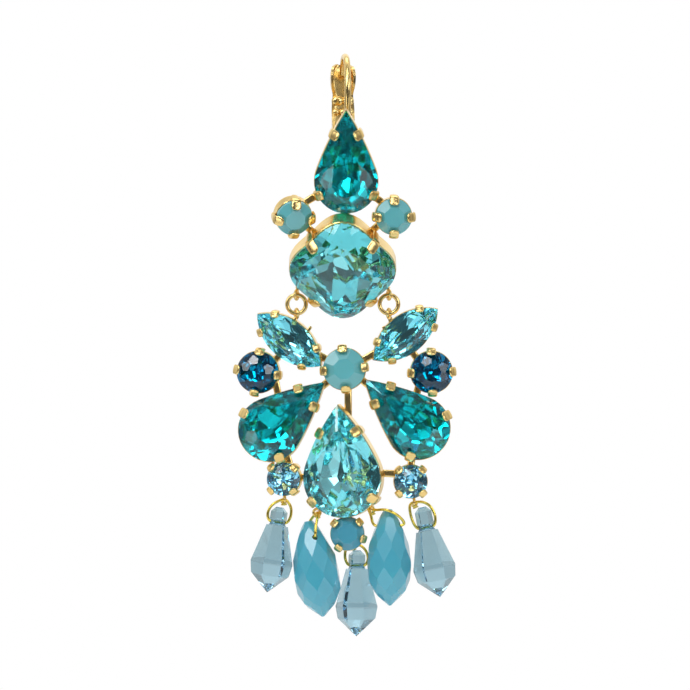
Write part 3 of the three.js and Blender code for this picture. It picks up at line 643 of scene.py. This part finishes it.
# Half the girdle's thickness, and how far inside the edge of its row a facet starts.
GIRDLE, INSET = 0.12, 0.97


def reach(outline, azimuth):
    """How far the outline reaches in a direction."""
    return max(p.x * cos(azimuth) + p.y * sin(azimuth) for p in outline)


def facet(azimuth, slope, away, z):
    """A plane that faces azimuth at a slope from the girdle, through a point away from the axis."""
    out = sin(slope)
    return Vector((cos(azimuth) * out, sin(azimuth) * out, cos(slope))), away * out + z * cos(slope)


def facets(style, opaque):
    """The planes of a cut, row by row: (normal, distance, whether it is behind the girdle)."""
    outline, crown, pavilion = style["outline"], style["crown"], style["pavilion"]
    rise, fall = style["crown_slope"], style["pavilion_slope"]
    mains = sorted(radians(a) for a in style["mains"])
    gaps = [(mains[(i + 1) % len(mains)] - a) % (2 * pi) for i, a in enumerate(mains)]
    middles = [a + gap / 2 for a, gap in zip(mains, gaps)]
    # none towards a pointed tip, where the two long mains meet at more than this angle
    wide = 1.6
    quarters = [a + gap * share for a, gap in zip(mains, gaps) if gap < wide for share in (0.25, 0.75)]
    made = [(Vector((0, 0, 1)), crown, 0), (Vector((0, 0, -1)), pavilion, 1)]

    def section(height):
        """The outline at a height, as it is cut so far."""
        edge = outline
        for normal, away, _ in made:
            depth = [away - normal.z * height - normal.x * p.x - normal.y * p.y for p in edge]
            kept = []
            for i, p in enumerate(edge):
                before, ahead = depth[i - 1], depth[i]
                if (before > 0) != (ahead > 0):
                    kept.append(edge[i - 1] + (p - edge[i - 1]) * (before / (before - ahead)))
                if ahead > 0:
                    kept.append(p)
            edge = kept
        return edge

    def row(azimuths, slope, height, inward, uneven=0.0):
        """Facets that start at a height, as far out as a share of the stone's reach there."""
        edge, under = section(height), int(height < 0)
        new = []
        for k, t in enumerate(azimuths):
            # no two neighbours are ground to quite the same slope
            tilt = radians(slope + uneven * sin(5.1 * k + 9.0 * crown))
            new.append((*facet(t, pi - tilt if under else tilt, reach(edge, t) * inward, height), under))
        made.extend(new)

    row(mains, rise, GIRDLE, 1)
    if opaque:
        row(mains, fall, -GIRDLE, 1)
        return made
    # steeper ones at the girdle, flatter ones towards the table and the point
    row(quarters, rise + 5, GIRDLE, 1)
    row(middles, rise - 15, crown * 0.6, INSET)
    row(quarters, fall + 6, -GIRDLE, 1, uneven=4.0)
    row(mains, fall, -0.16 * pavilion, INSET, uneven=3.0)
    row(middles, fall - 6, -0.45 * pavilion, INSET, uneven=3.0)
    return made


def stone_mesh(name, style, opaque):
    """A blank with the stone's outline and some height to spare, cut by one plane after another. The
    faces behind the girdle take the second material."""
    work, spare = bmesh.new(), 0.5
    top = [work.verts.new((p.x, p.y, style["crown"] + spare)) for p in style["outline"]]
    base = [work.verts.new((p.x, p.y, -style["pavilion"] - spare)) for p in style["outline"]]
    work.faces.new(top)
    work.faces.new(base[::-1])
    for i in range(len(top)):
        j = (i + 1) % len(top)
        work.faces.new((top[i], base[i], base[j], top[j]))
    for normal, away, back in facets(style, opaque):
        everything = work.verts[:] + work.edges[:] + work.faces[:]
        cut_edges = bmesh.ops.bisect_plane(work, geom=everything, dist=1e-5, plane_co=normal * away,
                                           plane_no=normal, clear_outer=True)["geom_cut"]
        cut_edges = [e for e in cut_edges if isinstance(e, bmesh.types.BMEdge)]
        if len(cut_edges) > 2:
            for face in bmesh.ops.contextual_create(work, geom=cut_edges)["faces"]:
                face.material_index = back
    bmesh.ops.recalc_face_normals(work, faces=work.faces)
    mesh = bpy.data.meshes.new(name)
    work.to_mesh(mesh)
    work.free()
    return mesh


def crystal(name, tint, foil, soft):
    """Clear tinted glass on a coloured foil. Slot one is the glass, slot two the foiled back."""
    glass = shader(name + "_glass", {"Base Color": linear(tint), "Transmission Weight": 1,
                                     "Roughness": 0.0, "IOR": 1.57})[0]
    back, tree, surface = shader(name + "_foil", {"Metallic": 1, "Roughness": soft})
    drifting(tree, surface, 1.4, 2.0, *foil)
    return [glass, back]


def opaque_stone(name, light, dark, rough):
    """Opaque turquoise glass, softly polished, faintly mottled."""
    made, tree, surface = shader(name, {"Roughness": rough, "Coat Weight": 1.0, "Coat Roughness": 0.08,
                                        "Subsurface Weight": 0.12, "Subsurface Scale": 0.8 * MM})
    drifting(tree, surface, 3.8, 3.0, dark, light)
    return [made]


# For each colour: the slot, and its materials.
LOOKS = {
    # Deep teal glass, foiled: dark in its shaded facets, bright green-blue where they catch light.
    "teal": ("teal_crystal", crystal("teal_crystal", "#3cdee4", ("#50dce2", "#68eaee"), 0.08)),
    # Light turquoise glass, foiled: the crispest foil, with large bright facets.
    "aqua": ("aqua_crystal", crystal("aqua_crystal", "#b0ecf1", ("#bceff5", "#d2f7fa"), 0.035)),
    # The two navettes are lighter and a little bluer.
    "light_aqua": ("aqua_crystal",
                   crystal("light_aqua_crystal", "#bcf4fe", ("#caf6ff", "#defcff"), 0.055)),
    # The large pear is as light, and a touch greener.
    "pale_aqua": ("aqua_crystal",
                  crystal("pale_aqua_crystal", "#bff4fa", ("#cbf6fc", "#dffcfe"), 0.05)),
    # Sky-blue glass, foiled: pale, with many small sparks.
    "sky": ("sky_crystal", crystal("sky_crystal", "#c2eeff", ("#ccf1ff", "#def8ff"), 0.045)),
    # Dark blue glass, foiled: nearly black between its few bright blue facets.
    "navy": ("navy_crystal", crystal("navy_crystal", "#16c2dc", ("#22c6de", "#34d4ea"), 0.055)),
    # Opaque turquoise glass: an even colour under a satin gloss.
    "turquoise": ("turquoise_stone", opaque_stone("turquoise_glass", "#6fc2ca", "#5fb3bb", 0.26)),
    # The lowest one is a bluer turquoise, and its darker tone is painted shade.
    "blue_turquoise": ("turquoise_stone",
                       opaque_stone("bluer_shaded_turquoise_glass", "#50a5bf", "#4497b0", 0.26)),
}
for carrier, rows in (("upper", UPPER), ("pendant", LOWER)):
    for row in rows:
        name, style, look = row[:3]
        slot, materials = LOOKS[look]
        mesh = stone_mesh(name, CUTS[style], slot == "turquoise_stone")
        mesh.transform(Matrix.Scale(MM, 4) @ seat(row))
        for material in materials:
            mesh.materials.append(material)
        stone = bpy.data.objects.new(name + "_cut", mesh)
        bpy.context.scene.collection.objects.link(stone)
        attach(stone, carrier)
        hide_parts(name + "_stone")

# ---------------------------------------------------------------- drops
# Five drilled glass drops: three clear ones with a narrow neck and long facets, and two opaque
# turquoise ones covered in flat facets. The solids' own facets are the real cuts, so they stay.

# Clear glass, polished, with a faint grey-blue tint that deepens where the glass is thick.
clear, tree, _ = shader("clear_glass", {"Base Color": linear("#a9c8d0"), "Transmission Weight": 1,
                                        "Roughness": 0.0, "IOR": 1.54})
depth = node(tree, "VolumeAbsorption", {"Density": 55.0, "Color": linear("#8cd4f4")})
tree.links.new(depth.outputs["Volume"], tree.nodes["Material Output"].inputs["Volume"])
# Opaque turquoise glass, satin, a little bluer than the set stones.
satin = opaque_stone("turquoise_drop_glass", "#52b6ce", "#44a5be", 0.3)[0]
for name in DROPS:
    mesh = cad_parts[name].data
    mesh.materials.clear()
    mesh.materials.append(clear if name.startswith("clear") else satin)

# ---------------------------------------------------------------- drop wires
# Each drop hangs on a closed loop of bright brass wire through its hole and its lug. The wire's ends
# are wound round the loop above in a small knot.

# Yellow-gold wire, brighter and yellower than the plating.
wire_gold = polished("yellow_wire", "#fdea7c", "#ecca50", 0.16, 0.28)
DROP_WIRE_RADIUS, KNOT_WIRE_RADIUS = 0.18, 0.12
# One leg of the loop, from the hole up: how far out, how far up, and the share of the way to the lug.
LOOPS = {
    "clear": [(0.8, -0.02, 0), (1.26, 0.14, 0.02), (1.47, 0.52, 0.1), (1.3, 0.98, 0.34),
              (0.78, 1.33, 0.7)],
    "turquoise": [(1.5, 0, 0), (2.02, 0.17, 0), (1.85, 0.62, 0.2), (1.3, 1.05, 0.6), (0.5, 1.38, 0.95)],
}
for name, drop in DROPS.items():
    place = (Matrix.Translation(drop["hole"]) @ Matrix.Rotation(radians(-drop["lean"]), 4, "Y")
             @ Matrix.Rotation(radians(drop["spin"]), 4, "Z"))
    top = place.inverted() @ Vector(drop["lug"])
    legs = []
    for side in (1, -1):
        leg = []
        for out, up, share in LOOPS[name.split("_")[0]]:
            bow = drop["bow"] * 4 * share * (1 - share) if side > 0 else 0
            height = min(up * drop["neck"], 0.95 * top.z)
            leg.append(Vector((side * out + share * top.x, share * top.y + bow, height)))
        legs.append(leg)
    path = [Vector((0, 0, 0)), *legs[0], top, *reversed(legs[1])]
    # nearly two and a half turns round the lug, winding down
    turns = [0.7 * k for k in range(23)]
    knot = [top + Vector((0.3 * cos(t), 0.26 * sin(t), 0.05 - 0.05 * t)) for t in turns]
    shapes = [moved(wire(path, DROP_WIRE_RADIUS, closed=True), place),
              moved(wire(knot, KNOT_WIRE_RADIUS, 2), place)]
    piece(name + "_loop", shapes, wire_gold, "pendant", [name + "_wire"])

# ---------------------------------------------------------------- stage
# A pale floor disc under the hanging earring, a soft white surround that is darker on the viewer's
# side, large soft panels, and the camera.

FLOOR, FLOOR_RADIUS, FLOOR_SIDES = -88, 170, 64
turns = [2 * pi * i / FLOOR_SIDES for i in range(FLOOR_SIDES)]
mesh = bpy.data.meshes.new("studio_floor")
mesh.from_pydata([Vector((FLOOR_RADIUS * cos(t), FLOOR_RADIUS * sin(t), FLOOR)) * MM for t in turns],
                 [], [tuple(range(FLOOR_SIDES))])
floor = bpy.data.objects.new("studio_floor", mesh)
bpy.context.scene.collection.objects.link(floor)
# Matt white paper, which fades out towards its edge.
paper, tree, surface = shader("studio_paper", {"Base Color": linear("#f8f8f7"), "Roughness": 0.9})
middle = node(tree, "TexCoord").outputs["Object"]
away = node(tree, "VectorMath", {"operation": "LENGTH"}, {"Vector": middle})
fade = node(tree, "MapRange", {"From Min": 0.1, "From Max": 0.19, "To Min": 1.0, "To Max": 0.0,
                               "interpolation_type": "SMOOTHSTEP"}, {"Value": away.outputs["Value"]})
tree.links.new(fade.outputs["Result"], surface.inputs["Alpha"])
mesh.materials.append(paper)

world = bpy.data.worlds.new("studio")
world.use_nodes = True
tree = world.node_tree
way = node(tree, "SeparateXYZ", links={"Vector": node(tree, "TexCoord").outputs["Generated"]})
# Between two values of one axis of the way looked, the light goes from one strength to another.
RAMPS = {
    "front": ("Y", -0.45, 0.2, 0.09, 0.93),  # dark on the viewer's side
    "behind": ("Y", 0.5, 0.85, 0.62, 1.08),  # brightest straight behind
    "beside": ("Y", 0.1, 0.4, 1.0, 0.62),  # bright at the sides, and dimmer between them and behind
    "upward": ("Z", -0.5, 0.45, 0.5, 1.12),  # brighter above than below
}
ramps = {}
for name, (axis, start, end, low, high) in RAMPS.items():
    ends = {"From Min": start, "From Max": end, "To Min": low, "To Max": high}
    ramps[name] = node(tree, "MapRange", {**ends, "interpolation_type": "SMOOTHSTEP"},
                       {"Value": way.outputs[axis]}).outputs["Result"]
banded = node(tree, "Math", {"operation": "MAXIMUM"}, {0: ramps["behind"], 1: ramps["beside"]})
shaded = node(tree, "Math", {"operation": "MULTIPLY"}, {0: ramps["front"], 1: ramps["upward"]})
whole = node(tree, "Math", {"operation": "MULTIPLY"},
             {0: shaded.outputs["Value"], 1: banded.outputs["Value"]})
# Seen directly, the surround is plain white.
seen = node(tree, "Math", {"operation": "MAXIMUM"},
            {0: whole.outputs["Value"], 1: node(tree, "LightPath").outputs["Is Camera Ray"]})
tree.links.new(seen.outputs["Value"], tree.nodes["Background"].inputs["Strength"])
tree.nodes["Background"].inputs["Color"].default_value = (1, 1, 1, 1)
bpy.context.scene.world = world
# The height of the earring's middle, which the panels face.
MIDDLE = -36


def panel(name, at, width, height, brightness):
    """A soft panel facing the earring, in millimetres, as bright as white paper at 1."""
    light = bpy.data.lights.new(name, "AREA")
    light.shape, light.size, light.size_y = "RECTANGLE", width * MM, height * MM
    light.energy = brightness * pi * width * height * MM ** 2
    made = bpy.data.objects.new(name, light)
    made.location = Vector(at) * MM
    made.rotation_euler = (Vector((0, 0, MIDDLE)) - Vector(at)).to_track_quat("-Z", "Y").to_euler()
    made.visible_camera = False
    bpy.context.scene.collection.objects.link(made)


panel("left_high", (-270, -235, 120), 130, 140, 3.8)
panel("left_low", (-270, -235, -150), 120, 120, 2.4)
panel("right_high", (270, -235, 100), 130, 130, 2.8)
panel("right_low", (270, -235, -160), 120, 110, 1.8)
panel("top_front_left", (-130, -240, 250), 70, 150, 5.0)
panel("top_front", (-10, -200, 300), 60, 120, 5.0)
panel("top_front_right", (120, -250, 250), 90, 60, 5.0)
panel("top_back", (0, 80, 340), 300, 150, 1.6)
panel("key_high_left", (-150, -400, 240), 150, 150, 6.0)
panel("key_right", (250, -400, 60), 120, 120, 5.0)
panel("fill_low", (-60, -330, -330), 130, 130, 2.0)

# Light crosses a cut stone many times between its foil and its crown before it leaves.
for kind in ("max_bounces", "glossy_bounces", "transmission_bounces"):
    setattr(bpy.context.scene.cycles, kind, 24)
bpy.context.scene.view_settings.view_transform = "Standard"

# A level camera one metre in front. Its frame is square, and this wide where the earring hangs.
CAMERA_AWAY, FRAME_WIDTH, CAMERA_HEIGHT = 1000, 87.34, -36.06
camera = bpy.data.cameras.new("camera")
camera.sensor_width = 36
camera.lens = camera.sensor_width * CAMERA_AWAY / FRAME_WIDTH
camera.clip_end = 20
view = bpy.data.objects.new("camera", camera)
view.location = (0, -CAMERA_AWAY * MM, CAMERA_HEIGHT * MM)
view.rotation_euler = (pi / 2, 0, 0)
bpy.context.scene.collection.objects.link(view)
bpy.context.scene.camera = view
